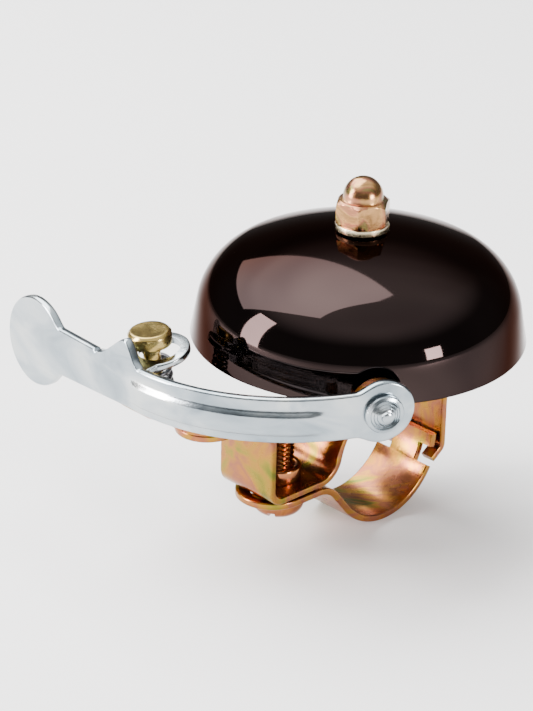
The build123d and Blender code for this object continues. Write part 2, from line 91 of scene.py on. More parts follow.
COLLAR_TOP_Z = 2.6
HOLE_CLEARANCE = 0.15
WASHER_BORE_RADIUS = 2.65
WASHER_SECTION_WIDTH = 1.7
WASHER_SPRING_RISE = 0.16
THREAD_PITCH = 0.8
THREAD_DEPTH = 0.40
SCREW_SHOULDER_GAP = 0.3
DRIVER_SLOT_TURN = math.radians(30)
LEVER_SHEET = 1.4
LEVER_HEIGHT = 7.5
EYE_RADIUS = 5.1
EYE_DISTANCE = 30.6
EYE_OFFSET = 6.68
EYE_Z = 21.7
LEVER_STRAIGHT = 3.0
LEVER_BEND_RADIUS = 32.8
LEVER_BEND_ANGLE = math.radians(69.5)
LEVER_DROOP = 0.05
TAIL_FALL = 0.08
TAIL_LENGTH = 26.9
PAD_RADIUS = 7.8
HUMP_SPAN = (-1.8, 9.2)    # from the end of the bend
HUMP_HEIGHT = 3.6
HAMMER_LENGTH = 12.1
HAMMER_HEAD_RADIUS = 3.55
HAMMER_HEAD_HEIGHT = 2.5
HAMMER_SHANK_RADIUS = 1.4
HAMMER_RADIUS_FROM_AXIS = 35.8
HAMMER_BEARING = math.radians(156.5)
HAMMER_LEAN = math.radians(6.0)
RING_RADIUS = 5.0
RING_HOLE_RADIUS = 3.5
RING_BELOW_TOP = 4.1
RING_TILT = math.radians(12.0)
RING_SHIFT = 1.35
TONGUE_SHEET = 1.2
TONGUE_WIDTH = 7.6
TONGUE_SINK = 0.5
SPRING_RADIUS = 2.75
SPRING_WIRE = 0.36
SPRING_TURNS = 4.5
SEAT_THICKNESS = 0.6
LEG_X = 13.4
HOOK_Z = -3.3
TOP_Z = PLATE_BOTTOM - SHEET / 2
SADDLE = (math.radians(145), math.radians(166))
CHANNEL_Z = -0.6
CHANNEL_X = -26.3
LOBE_X = -32.2
LOBE_Y = 3.6
LOBE_RADIUS = 5.1
SLOT_WIDTH = 7.0
HOOK = (math.radians(-14), math.radians(-3))
BAND = (math.radians(-30), math.radians(219 - 360))
EAR_CORNER_RADIUS = 5.0
EAR_END_X = -20.9
EAR_END_RADIUS = 6.0
EAR_SLOT_X = (-22.0, -19.3)
EAR_SLOT_RADIUS = 2.9

# ---- directions and derived places ---------------------------------------------
UP = Vector((0, 0, 1))
WIDTHWAYS = Vector((0, 1, 0))
EYE_NORMAL = Vector((-0.4391, -0.8984, 0))
EYE_ALONG = Vector((-0.8984, 0.4391, 0))
DOME_AXIS = Vector((DOME_X, 0, 0))
EYE_CENTRE = DOME_AXIS + EYE_NORMAL * EYE_DISTANCE + EYE_ALONG * EYE_OFFSET + UP * EYE_Z
OUTWARD = Vector((math.cos(HAMMER_BEARING), math.sin(HAMMER_BEARING), 0))
HAMMER_AXIS = OUTWARD * math.sin(HAMMER_LEAN) + UP * math.cos(HAMMER_LEAN)
HAMMER_RUN = HAMMER_LENGTH * math.tan(HAMMER_LEAN)
HAMMER_FOOT = DOME_AXIS + OUTWARD * (HAMMER_RADIUS_FROM_AXIS - HAMMER_RUN) + UP * PLATE_TOP
HEAD_TOP = HAMMER_LENGTH / math.cos(HAMMER_LEAN)


# ---- node materials --------------------------------------------------------------
class Nodes:
    """Short way to add and join the shader nodes of one material."""

    def __init__(self, name):
        self.material = bpy.data.materials.new(name)
        self.material.use_nodes = True
        self.tree = self.material.node_tree
        self.shader = self.tree.nodes["Principled BSDF"]
        self.place = self.tree.nodes.new("ShaderNodeTexCoord").outputs["Object"]

    def add(self, kind, **inputs):
        made = self.tree.nodes.new(kind)
        for key, value in inputs.items():
            self.put(made.inputs[key.replace("_", " ")], value)
        return made

    def put(self, socket, value):
        if isinstance(value, bpy.types.NodeSocket):
            self.tree.links.new(value, socket)
        else:
            socket.default_value = value

    def stretched(self, stretch):
        """Coordinates scaled by a vector, for streaks."""
        scaled = self.add("ShaderNodeMapping", Vector=self.place)
        scaled.inputs["Scale"].default_value = stretch
        return scaled.outputs["Vector"]

    def noise(self, scale, detail=3.0, distortion=0.0, stretch=None):
        where = self.stretched(stretch) if stretch else self.place
        made = self.add("ShaderNodeTexNoise", Vector=where, Scale=scale, Detail=detail,
                        Distortion=distortion)
        return made.outputs["Fac"]

    def ramp(self, fac, stops):
        """Colour ramp through (position, colour) stops."""
        made = self.add("ShaderNodeValToRGB", Fac=fac)
        band = made.color_ramp
        while len(band.elements) < len(stops):
            band.elements.new(0.5)
        for element, (position, colour) in zip(band.elements, stops):
            element.position = position
            element.color = (*colour, 1.0)
        return made.outputs["Color"]

    def span(self, fac, low, high):
        """Map 0.3..0.7 of a noise onto low..high."""
        made = self.add("ShaderNodeMapRange", Value=fac)
        made.inputs["From Min"].default_value = 0.3
        made.inputs["From Max"].default_value = 0.7
        made.inputs["To Min"].default_value = low
        made.inputs["To Max"].default_value = high
        return made.outputs["Result"]

    def bump(self, height, strength, distance=0.0001):
        made = self.add("ShaderNodeBump", Height=height, Strength=strength, Distance=distance)
        self.put(self.shader.inputs["Normal"], made.outputs["Normal"])


def metal(name, stops, patch, rough, streak=None, distortion=1.0, bump=0.08, grain=1800.0):
    """Metal with slow colour patches, uneven gloss and a fine grain."""
    n = Nodes(name)
    n.shader.inputs["Metallic"].default_value = 1.0
    colour = n.ramp(n.noise(patch, 3.0, distortion, streak), stops)
    n.put(n.shader.inputs["Base Color"], colour)
    n.put(n.shader.inputs["Roughness"], n.span(n.noise(patch * 2.3, 4.0), *rough))
    n.bump(n.noise(grain, 4.0, 0.0, streak), bump)
    return n.material


black_nickel = metal(
    "black_nickel",
    [(0.30, (0.016, 0.011, 0.011)), (0.50, (0.026, 0.018, 0.017)), (0.72, (0.038, 0.027, 0.025))],
    22.0, (0.03, 0.06), bump=0.004, grain=700.0)
black_nickel.node_tree.nodes["Principled BSDF"].inputs["Specular Tint"].default_value = (
    0.50, 0.46, 0.45, 1.0)
CHROMATE = [
    (0.30, (0.31, 0.16, 0.025)), (0.40, (0.34, 0.13, 0.03)), (0.47, (0.26, 0.09, 0.05)),
    (0.54, (0.33, 0.15, 0.025)), (0.61, (0.24, 0.17, 0.02)), (0.67, (0.12, 0.13, 0.02)),
    (0.74, (0.34, 0.17, 0.025))]
chromate = metal("yellow_chromate", CHROMATE, 95.0, (0.16, 0.32), distortion=1.6, bump=0.10)
chromate_nut = metal(
    "chromate_on_the_nut",
    [(0.32, (0.24, 0.13, 0.05)), (0.44, (0.42, 0.23, 0.09)), (0.54, (0.30, 0.12, 0.07)),
     (0.64, (0.17, 0.15, 0.05)), (0.74, (0.40, 0.24, 0.08))],
    240.0, (0.14, 0.30), distortion=1.2, bump=0.10)
chromate_screw = metal(
    "chromate_on_the_screw",
    [(0.30, (0.28, 0.10, 0.03)), (0.46, (0.38, 0.14, 0.04)), (0.60, (0.28, 0.10, 0.05)),
     (0.74, (0.38, 0.19, 0.05))],
    210.0, (0.12, 0.26), distortion=1.4, bump=0.08)
blue_zinc = metal(
    "bright_zinc",
    [(0.28, (0.18, 0.22, 0.25)), (0.45, (0.29, 0.34, 0.37)), (0.60, (0.40, 0.44, 0.46)),
     (0.75, (0.50, 0.53, 0.52))],
    85.0, (0.12, 0.26), streak=(1.0, 1.0, 1.9), distortion=0.9, bump=0.12)
pale_zinc = metal(
    "pale_gold_zinc",
    [(0.35, (0.62, 0.52, 0.33)), (0.55, (0.80, 0.70, 0.48)), (0.70, (0.72, 0.56, 0.40))],
    260.0, (0.18, 0.34))
brass = metal(
    "turned_brass",
    [(0.32, (0.26, 0.18, 0.05)), (0.50, (0.40, 0.29, 0.09)), (0.70, (0.52, 0.40, 0.15))],
    180.0, (0.16, 0.30), streak=(1.0, 1.0, 3.0), bump=0.12)
spring_steel = metal(
    "dark_spring_steel",
    [(0.35, (0.06, 0.06, 0.065)), (0.60, (0.14, 0.14, 0.15)), (0.75, (0.24, 0.24, 0.25))],
    420.0, (0.22, 0.40))
post_steel = metal(
    "post_steel",
    [(0.35, (0.42, 0.39, 0.33)), (0.60, (0.58, 0.54, 0.46)), (0.75, (0.66, 0.63, 0.57))],
    150.0, (0.25, 0.42))


def make_fibre():
    """Matt pressed fibre of the washer under the dome."""
    n = Nodes("pressed_fibre")
    n.put(n.shader.inputs["Base Color"],
          n.ramp(n.noise(900.0, 5.0), [(0.35, (0.05, 0.035, 0.03)), (0.65, (0.12, 0.09, 0.07))]))
    n.put(n.shader.inputs["Roughness"], n.span(n.noise(500.0), 0.7, 0.9))
    n.bump(n.noise(1500.0, 5.0), 0.4)
    return n.material


fibre = make_fibre()


# ---- mesh helpers ------------------------------------------------------------------
def finish_mesh(name, points, faces, material, body, replaced=(), sharp=38):
    """Make an object from millimetre points, shade it and attach it to its body."""
    mesh = bpy.data.meshes.new(name)
    mesh.from_pydata([Vector(p) * MM for p in points], [], faces)
    mesh.validate()
    work = bmesh.new()
    work.from_mesh(mesh)
    bmesh.ops.remove_doubles(work, verts=work.verts, dist=1e-7)
    bmesh.ops.recalc_face_normals(work, faces=work.faces)
    work.to_mesh(mesh)
    work.free()
    mesh.shade_smooth()
    mesh.set_sharp_from_angle(angle=math.radians(sharp))
    piece = bpy.data.objects.new(name, mesh)
    bpy.context.scene.collection.objects.link(piece)
    mesh.materials.append(material)
    if body:
        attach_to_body(piece, body)
    if replaced:
        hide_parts(*replaced)
    return piece


def arc2(centre, radius, start, end, steps):
    """Points of a circular arc in a plane, both ends included."""
    turns = [start + (end - start) * i / steps for i in range(steps + 1)]
    return [(centre[0] + radius * math.cos(t), centre[1] + radius * math.sin(t)) for t in turns]


def rounded(points, radii, steps=6, closed=True):
    """Polygon or path whose corners are replaced by arcs; works in 2D and 3D."""
    points = [Vector(p) for p in points]
    count = len(points)
    out = []
    for i, corner in enumerate(points):
        radius = radii[i] if isinstance(radii, (list, tuple)) else radii
        if radius <= 0 or (not closed and i in (0, count - 1)):
            out.append(corner)
            continue
        before = (points[i - 1] - corner).normalized()
        after = (points[(i + 1) % count] - corner).normalized()
        half = before.angle(after) / 2
        if half > math.pi / 2 - 0.01:
            out.append(corner)
            continue
        reach = radius / math.tan(half)
        middle = (before + after).normalized()
        centre = corner + middle * (radius / math.sin(half))
        first = corner + before * reach - centre
        last = corner + after * reach - centre
        span = first.angle(last)
        for k in range(steps + 1):
            f = k / steps
            spun = (first * math.sin((1 - f) * span) + last * math.sin(f * span)) / math.sin(span)
            out.append(centre + spun)
    return out


def axis_frame(origin, axis):
    """Matrix whose Z runs along an axis."""
    turn = Vector(axis).to_track_quat("Z", "Y").to_matrix().to_4x4()
    return Matrix.Translation(origin) @ turn


def strip_faces(rows, count):
    """Quads between rings of points, each ring closed on itself."""
    faces = []
    for i in range(rows - 1):
        for k in range(count):
            n = (k + 1) % count
            faces.append([i * count + k, i * count + n, (i + 1) * count + n, (i + 1) * count + k])
    return faces


def tube_faces(rows, count):
    """Quads between rings of points, and a face over each end."""
    last = (rows - 1) * count
    return strip_faces(rows, count) + [list(range(count)), [last + k for k in range(count)]]


def lathe(profile, segments=96):
    """Points and faces of a closed profile of (radius, height) turned about Z."""
    points = []
    faces = []
    rings = []
    for radius, height in profile:
        if radius < 1e-6:
            rings.append([len(points)])
            points.append(Vector((0, 0, height)))
            continue
        start = len(points)
        rings.append(list(range(start, start + segments)))
        for k in range(segments):
            turn = 2 * math.pi * k / segments
            points.append(Vector((radius * math.cos(turn), radius * math.sin(turn), height)))
    for low, high in zip(rings, rings[1:] + rings[:1]):
        if len(low) == 1 and len(high) == 1:
            continue
        for k in range(segments):
            n = (k + 1) % segments
            quad = [low[k % len(low)], low[n % len(low)], high[n % len(high)], high[k % len(high)]]
            faces.append(list(dict.fromkeys(quad)))
    return points, faces


def turned(name, profile, frame_matrix, material, body, replaced=(), segments=96, sharp=38):
    """A turned piece on any axis."""
    points, faces = placed(lathe(profile, segments), frame_matrix)
    finish_mesh(name, points, faces, material, body, replaced, sharp)


def sweep(path, section, across):
    """Points and faces of a section of (width, thickness) points along a flat path."""
    path = [Vector(p) for p in path]
    points = []
    for i, place in enumerate(path):
        before = path[max(i - 1, 0)]
        after = path[min(i + 1, len(path) - 1)]
        tangent = (after - before).normalized()
        normal = across.cross(tangent).normalized()
        for width, thickness in section:
            points.append(place + across * width + normal * thickness)
    return points, tube_faces(len(path), len(section))


def placed(solid, matrix):
    """Points and faces of a solid, moved by a matrix."""
    points, faces = solid
    return [matrix @ p for p in points], faces


def sheet_section(width, thickness=SHEET, edge=0.28, shift=0.0):
    """Rounded rectangle, the cut across a sheet."""
    w, t = width / 2, thickness / 2
    corners = [(shift - w, -t), (shift + w, -t), (shift + w, t), (shift - w, t)]
    return [(p[0], p[1]) for p in rounded(corners, edge, 4)]


def plain_object(name, points, faces):
    """A working solid for cutting and joining."""
    return finish_mesh(name, points, faces, chromate, None)


def combine(piece, other, operation):
    """Boolean of two solids; the second one is used up."""
    modifier = piece.modifiers.new("combine", "BOOLEAN")
    modifier.operation = operation
    modifier.object = other
    modifier.solver = "EXACT"
    bpy.context.view_layer.update()
    graph = bpy.context.evaluated_depsgraph_get()
    result = bpy.data.meshes.new_from_object(piece.evaluated_get(graph))
    piece.modifiers.clear()
    piece.data = result
    bpy.data.objects.remove(other)


def attach(piece, material, body, replaced=(), sharp=38):
    """Shade a combined solid and attach it."""
    piece.data.materials.clear()
    piece.data.materials.append(material)
    piece.data.shade_smooth()
    piece.data.set_sharp_from_angle(angle=math.radians(sharp))
    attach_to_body(piece, body)
    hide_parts(*replaced)


def disc_profile(outer, bottom, top, edge=0.25, inner=0.0):
    """Profile of a disc or ring with softened edges."""
    if inner:
        box = [(inner, bottom), (outer, bottom), (outer, top), (inner, top)]
        return [(p[0], p[1]) for p in rounded(box, edge, 3)]
    box = [(0, bottom), (outer, bottom), (outer, top), (0, top)]
    return [(p[0], p[1]) for p in rounded(box, [0, edge, edge, 0], 3)]


def upright_at(x, y, z=0.0):
    return Matrix.Translation((x, y, z))


# ---- dome and its stack ---------------------------------------------------------------
def dome_line(inset, steps=28):
    """Outer or inner line of the dome, from the rim to the apex."""
    skirt_top = (RIM_RADIUS - SKIRT_HEIGHT * math.tan(SKIRT_TAPER), SKIRT_HEIGHT)
    shoulder = (skirt_top[0] - SHOULDER_RADIUS * math.cos(SKIRT_TAPER),
                skirt_top[1] - SHOULDER_RADIUS * math.sin(SKIRT_TAPER))
    reach = CROWN_RADIUS - SHOULDER_RADIUS
    crown = (0.0, shoulder[1] - math.sqrt(reach ** 2 - shoulder[0] ** 2))
    join = math.atan2(shoulder[1] - crown[1], shoulder[0])
    rim = [(RIM_RADIUS - inset / math.cos(SKIRT_TAPER), 0.0)]
    bend = arc2(shoulder, SHOULDER_RADIUS - inset, SKIRT_TAPER, join, steps)
    top = arc2(crown, CROWN_RADIUS - inset, join, math.pi / 2, steps)
    return rim + bend + top[1:]


def make_dome():
    """Spun cup with a rolled lip at its rim."""
    hole = THREAD_RADIUS + HOLE_CLEARANCE
    outer = [p for p in dome_line(0.0) if p[0] > hole]
    inner = [p for p in dome_line(DOME_WALL) if p[0] > hole]
    top_z = dome_line(0.0)[-1][1]
    under_z = dome_line(DOME_WALL)[-1][1]
    lip, bevel, taper = 0.28, 0.09, 0.04
    out, back = outer[0][0], inner[0][0]
    rim_low = [(out - lip, 0.0), (out - bevel, bevel), (out - taper, lip)]
    rim_in = [(back + taper, lip), (back + bevel, bevel), (back + lip, 0.0)]
    profile = rim_low + outer[1:] + [(hole, top_z - 0.01), (hole, under_z)]
    profile += inner[:0:-1] + rim_in
    turned("dome_cup", profile, upright_at(DOME_X, 0, RIM_Z), black_nickel, "root",
           ["bell_dome"], segments=256, sharp=50)


def make_lock_washer():
    """Split ring whose two ends stand slightly apart in height."""
    section = sheet_section(WASHER_SECTION_WIDTH, LOCK_WASHER_HEIGHT - WASHER_SPRING_RISE, 0.12)
    middle = (LOCK_WASHER_RADIUS + WASHER_BORE_RADIUS) / 2
    steps = 96
    gap = math.radians(9)
    start = math.radians(-58)
    points = []
    for i in range(steps + 1):
        turn = start + gap / 2 + (2 * math.pi - gap) * i / steps
        rise = APEX_Z + LOCK_WASHER_HEIGHT / 2 + WASHER_SPRING_RISE * (i / steps - 0.5)
        for width, height in section:
            radius = middle + width
            points.append((DOME_X + radius * math.cos(turn), radius * math.sin(turn),
                           rise + height))
    faces = tube_faces(steps + 1, len(section))
    finish_mesh("split_washer", points, faces, pale_zinc, "root", ["lock_washer"])


def make_cap_nut():
    """Hexagon with chamfered corners that runs into a polished cap."""
    bottom = APEX_Z + LOCK_WASHER_HEIGHT
    corner = NUT_ACROSS_FLATS / math.sqrt(3)
    sides = 6
    per_side = 14
    segments = sides * per_side

    def hexagon(turn):
        local = (turn + math.pi / sides) % (2 * math.pi / sides) - math.pi / sides
        return NUT_ACROSS_FLATS / 2 / math.cos(local)

    top = NUT_HEX_HEIGHT
    levels = [(corner - 0.45, 0.0), (corner - 0.10, 0.18), (corner + 0.05, 0.34)]
    levels += [(corner + 0.05, top * f) for f in (0.3, 0.5, 0.7)]
    levels += [(corner + 0.05 - 0.85 * f, top - 0.6 + 0.6 * f) for f in (0, 0.25, 0.5, 0.75, 1)]
    neck = [(NUT_CAP_RADIUS + 0.32, top + 0.02), (NUT_CAP_RADIUS + 0.08, top + 0.12),
            (NUT_CAP_RADIUS, top + 0.5)]
    cap = arc2((0, top + 0.5), NUT_CAP_RADIUS, 0, math.pi / 2, 20)[1:-1]
    rings = levels + neck + cap
    points = []
    for radius, height in rings:
        for k in range(segments):
            turn = 2 * math.pi * k / segments
            reach = min(radius, hexagon(turn)) if height < top + 0.01 else radius
            spun = turn + NUT_TURN
            points.append((DOME_X + reach * math.cos(spun), reach * math.sin(spun),
                           bottom + height))
    faces = strip_faces(len(rings), segments)
    apex = len(points)
    points.append((DOME_X, 0, bottom + top + 0.5 + NUT_CAP_RADIUS))
    last = (len(rings) - 1) * segments
    faces += [[last + k, last + (k + 1) % segments, apex] for k in range(segments)]
    faces.append(list(range(segments)))
    finish_mesh("acorn_nut", points, faces, chromate_nut, "root", ["cap_nut"],
                sharp=22)


# ---- handlebar clamp --------------------------------------------------------------------
def bar_point(turn, radius=BAR_RADIUS + SHEET / 2):
    return Vector((radius * math.cos(turn), 0, radius * math.sin(turn)))


def bar_arc(start, end, steps=40):
    return [bar_point(start + (end - start) * i / steps) for i in range(steps + 1)]


def tangent_corner(turn, height):
    radius = BAR_RADIUS + SHEET / 2
    return Vector(((radius - height * math.sin(turn)) / math.cos(turn), 0, height))


def make_bracket():
    """Bent strap with its forked leg and round lobe, and the collar in the channel."""
    start, end = SADDLE
    lip = Vector((11.05, 0, -5.0))
    kink = Vector((LEG_X, 0, HOOK_Z))
    fork_top = Vector((LEG_X, 0, -2.0))
    first = [fork_top, Vector((LEG_X, 0, TOP_Z)), tangent_corner(start, TOP_Z), bar_point(start)]
    wall_end = bar_point(end)
    fall = (wall_end.z - CHANNEL_Z) / -math.cos(end)
    floor_corner = wall_end + Vector((-math.sin(end), 0, math.cos(end))) * fall
    second = [wall_end, floor_corner, Vector((CHANNEL_X, 0, CHANNEL_Z)),
              Vector((CHANNEL_X, 0, TOP_Z)), Vector((LOBE_X + 3.5, 0, TOP_Z))]
    path = rounded(first, [0, 2.2, 3.0, 0], 12, False)
    path += bar_arc(start, end, 16)[1:-1]
    path += rounded(second, [0, 4.0, 2.2, 2.0, 0], 12, False)
    strap = plain_object("strap", *sweep(path, sheet_section(STRAP_WIDTH), WIDTHWAYS))
    prong = (STRAP_WIDTH - SLOT_WIDTH) / 2
    for side in (-1, 1):
        shift = side * (STRAP_WIDTH - prong) / 2
        prong_path = rounded([lip, kink, fork_top + UP * 0.5], [0, 1.4, 0], 10, False)
        other = plain_object("prong", *sweep(
            prong_path, sheet_section(prong, SHEET - 0.004, 0.27, shift), WIDTHWAYS))
        combine(strap, other, "UNION")
    neck_path = [Vector((LOBE_X + 4.4, 0, TOP_Z)), Vector((LOBE_X, 0, TOP_Z))]
    neck = plain_object("flange_neck", *sweep(
        neck_path, sheet_section(7.5, SHEET - 0.006, 0.27, 2.25), WIDTHWAYS))
    combine(strap, neck, "UNION")
    disc = disc_profile(LOBE_RADIUS, TOP_Z - SHEET / 2 + 0.002, TOP_Z + SHEET / 2 - 0.002)
    lobe = plain_object("lobe", *placed(lathe(disc, 72), upright_at(LOBE_X, LOBE_Y)))
    combine(strap, lobe, "UNION")
    strap.name = "bent_strap"
    attach(strap, chromate, "root", ["clamp_bracket"])
    collar = disc_profile(COLLAR_RADIUS, CHANNEL_Z + SHEET / 2 - 0.2, COLLAR_TOP_Z, 0.45,
                          THREAD_RADIUS + 0.06)
    turned("thread_collar", collar, upright_at(SCREW_X, 0), chromate_screw, "root")


def make_band():
    """Hook, arc under the bar and slotted ear, joined into one solid."""
    leave_turn = BAND[1]
    leave = bar_point(leave_turn)
    direction = Vector((math.sin(leave_turn), 0, -math.cos(leave_turn)))
    corner = leave + direction * ((EAR_MID_Z - leave.z) / direction.z)
    path = bar_arc(*BAND)[:-1]
    path += rounded([leave, corner, Vector((EAR_END_X, 0, EAR_MID_Z))],
                    [0, EAR_CORNER_RADIUS, 0], 14, False)
    band = plain_object("band", *sweep(path, sheet_section(STRAP_WIDTH), WIDTHWAYS))
    neck = plain_object("neck", *sweep(
        bar_arc(BAND[0] - 0.02, HOOK[1] - 0.02, 10),
        sheet_section(SLOT_WIDTH - 1.0, SHEET - 0.004, 0.27), WIDTHWAYS))
    combine(band, neck, "UNION")
    hook = plain_object("hook", *sweep(
        bar_arc(*HOOK, 8), sheet_section(STRAP_WIDTH - 1.0, SHEET - 0.008, 0.27), WIDTHWAYS))
    combine(band, hook, "UNION")
    low, high = EAR_MID_Z - SHEET / 2, EAR_MID_Z + SHEET / 2
    disc = disc_profile(EAR_END_RADIUS, low + 0.002, high - 0.002)
    end = plain_object("end", *placed(lathe(disc, 80), upright_at(EAR_END_X, 0)))
    combine(band, end, "UNION")
    left, right = EAR_SLOT_X
    outline = arc2((left, 0), EAR_SLOT_RADIUS, math.pi / 2, 3 * math.pi / 2, 24)
    outline += arc2((right, 0), EAR_SLOT_RADIUS, -math.pi / 2, math.pi / 2, 24)
    cut_points = [Vector((x, y, low - 1)) for x, y in outline]
    cut_points += [Vector((x, y, high + 1)) for x, y in outline]
    count = len(outline)
    cut_faces = [[k, (k + 1) % count, count + (k + 1) % count, count + k] for k in range(count)]
    cut_faces += [list(range(count)), [count + k for k in range(count)]]
    combine(band, plain_object("slot_cut", cut_points, cut_faces), "DIFFERENCE")
    band.name = "lower_band"
    attach(band, chromate, "band", ["clamp_band"])


def make_screw():
    """Pan head with a driver slot, and a shank with a real helical thread."""
    head_top = EAR_MID_Z - SHEET / 2 - SCREW_SHOULDER_GAP
    head_bottom = head_top - SCREW_HEAD_HEIGHT
    bottom = head_top - 0.4
    top = SCREW_TIP_Z - 0.55
    tip_radius = 1.75
    per_turn = 40
    per_pitch = 10
    rows = int((top - bottom) / THREAD_PITCH * per_pitch)
    points = []
    for i in range(rows + 1):
        height = bottom + (top - bottom) * i / rows
        for k in range(per_turn):
            turn = 2 * math.pi * k / per_turn
            phase = (height / THREAD_PITCH + k / per_turn) % 1.0
            ridge = 1 - abs(2 * phase - 1)
            ridge = min(1.0, max(0.0, (ridge - 0.08) / 0.80))
            radius = THREAD_RADIUS - THREAD_DEPTH + THREAD_DEPTH * ridge
            points.append((SCREW_X + radius * math.cos(turn), radius * math.sin(turn), height))
    faces = strip_faces(rows + 1, per_turn)
    tip = []
    for k in range(per_turn):
        turn = 2 * math.pi * k / per_turn
        tip.append(len(points))
        points.append((SCREW_X + tip_radius * math.cos(turn), tip_radius * math.sin(turn),
                       SCREW_TIP_Z))
    last = rows * per_turn
    faces += [[last + k, last + (k + 1) % per_turn, tip[(k + 1) % per_turn], tip[k]]
              for k in range(per_turn)]
    faces.append(tip)
    faces.append(list(range(per_turn)))
    finish_mesh("threaded_shank", points, faces, chromate_screw, "screw",
                ["clamp_screw"], sharp=40)
    chamfer, round_off = 0.15, 1.9
    profile = [(0, head_top), (SCREW_HEAD_RADIUS - chamfer, head_top)]
    profile += [(SCREW_HEAD_RADIUS, head_top - chamfer)]
    profile += arc2((SCREW_HEAD_RADIUS - round_off, head_bottom + round_off), round_off, 0,
                    -math.pi / 2, 14)
    profile.append((0, head_bottom))
    head = plain_object("pan_head", *placed(lathe(profile), upright_at(SCREW_X, 0)))
    turn = DRIVER_SLOT_TURN
    along = Vector((math.cos(turn), math.sin(turn), 0))
    side = Vector((-math.sin(turn), math.cos(turn), 0))
    base = Vector((SCREW_X, 0, head_bottom - 1))
    cut = sweep([base - along * 6, base + along * 6],
                [(-0.6, -2.2), (0.6, -2.2), (0.6, 2.2), (-0.6, 2.2)], side)
    combine(head, plain_object("driver_cut", *cut), "DIFFERENCE")
    attach(head, chromate_screw, "screw")


# ---- hammer and spring ---------------------------------------------------------------------
def make_hammer():
    """Turned head, neck and shank, and the foot peened under the arm."""
    head_start = HEAD_TOP - HAMMER_HEAD_HEIGHT
    r = HAMMER_HEAD_RADIUS
    profile = [(0, HEAD_TOP - 0.05), (r - 0.9, HEAD_TOP - 0.02), (r - 0.62, HEAD_TOP),
               (r - 0.42, HEAD_TOP - 0.06), (r - 0.06, HEAD_TOP - 0.42), (r, HEAD_TOP - 0.55),
               (r, head_start + 0.35), (r - 0.10, head_start + 0.10), (r - 0.35, head_start),
               (2.0, head_start - 0.05), (1.62, head_start - 0.35), (1.6, head_start - 1.3),
               (HAMMER_SHANK_RADIUS, head_start - 1.5), (HAMMER_SHANK_RADIUS, -1.95),
               (2.3, -2.0), (2.4, -2.1), (2.4, -2.65), (2.2, -2.8), (0, -2.8)]
    turned("hammer_pin", profile, axis_frame(HAMMER_FOOT, HAMMER_AXIS), brass, "hammer",
           ["hammer"], segments=96, sharp=28)


def make_spring():
    """Coil with closed end turns, flattened between the seat and the lever's ring."""
    start = SEAT_THICKNESS + SPRING_WIRE + 0.80
    end = HEAD_TOP - RING_BELOW_TOP - LEVER_SHEET / 2 - SPRING_WIRE - 0.55
    steps = 44
    total = int(SPRING_TURNS * steps)
    ring = 12
    matrix = axis_frame(HAMMER_FOOT, HAMMER_AXIS)
    route = []
    for i in range(total + 1):
        f = i / total
        eased = f + math.sin(2 * math.pi * f) * -0.05
        turn = 2 * math.pi * SPRING_TURNS * f
        route.append(Vector((SPRING_RADIUS * math.cos(turn), SPRING_RADIUS * math.sin(turn),
                             start + (end - start) * eased)))
    points = []
    for i, place in enumerate(route):
        tangent = (route[min(i + 1, total)] - route[max(i - 1, 0)]).normalized()
        outward = Vector((place.x, place.y, 0)).normalized()
        third = tangent.cross(outward).normalized()
        for k in range(ring):
            turn = 2 * math.pi * k / ring
            points.append(matrix @ (place + outward * (SPRING_WIRE * math.cos(turn))
                                    + third * (SPRING_WIRE * math.sin(turn))))
    faces = tube_faces(total + 1, ring)
    spring = finish_mesh("coil_spring", points, faces, spring_steel, "hammer",
                         ["hammer_spring"])
    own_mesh(spring)


# ---- lever -------------------------------------------------------------------------------------
BEND_START = LEVER_STRAIGHT
BEND_END = LEVER_STRAIGHT + LEVER_BEND_RADIUS * LEVER_BEND_ANGLE
PAD_AT = BEND_END + TAIL_LENGTH
HEADING = math.atan2(EYE_ALONG.y, EYE_ALONG.x)
BEND_CENTRE = EYE_CENTRE + EYE_ALONG * LEVER_STRAIGHT - EYE_NORMAL * LEVER_BEND_RADIUS


def lever_place(s):
    """Middle of the sheet at a length from the eye, with the outward normal there."""
    if s < BEND_START:
        flat = EYE_CENTRE + EYE_ALONG * s
        normal = EYE_NORMAL.normalized()
    else:
        bent = min(s - BEND_START, BEND_END - BEND_START)
        turn = HEADING + math.pi / 2 - bent / LEVER_BEND_RADIUS
        normal = Vector((math.cos(turn), math.sin(turn), 0))
        flat = BEND_CENTRE + normal * LEVER_BEND_RADIUS
        if s > BEND_END:
            flat += Vector((math.sin(turn), -math.cos(turn), 0)) * (s - BEND_END)
    at = min(s, BEND_END)
    if at < BEND_START:
        reach = at
    else:
        reach = BEND_START + LEVER_BEND_RADIUS * math.sin((at - BEND_START) / LEVER_BEND_RADIUS)
    drop = LEVER_DROOP * reach + TAIL_FALL * max(0.0, s - BEND_END)
    return Vector((flat.x, flat.y, EYE_Z - drop)), normal


def blend_max(a, b, k):
    """Larger of two values with a soft corner of size k."""
    h = max(k - abs(a - b), 0.0) / k
    return max(a, b) + h * h * k / 4


def stepwise(x, table):
    """Straight lines between (x, value) pairs."""
    if x <= table[0][0]:
        return table[0][1]
    for (x0, y0), (x1, y1) in zip(table, table[1:]):
        if x <= x1:
            return y0 + (y1 - y0) * (x - x0) / (x1 - x0)
    return table[-1][1]


def smooth_step(x, low, high):
    f = min(1.0, max(0.0, (x - low) / (high - low)))
    return f * f * (3 - 2 * f)


def circle_half(x, centre, radius):
    inside = radius ** 2 - (x - centre) ** 2
    return math.sqrt(inside) if inside > 0 else 0.0


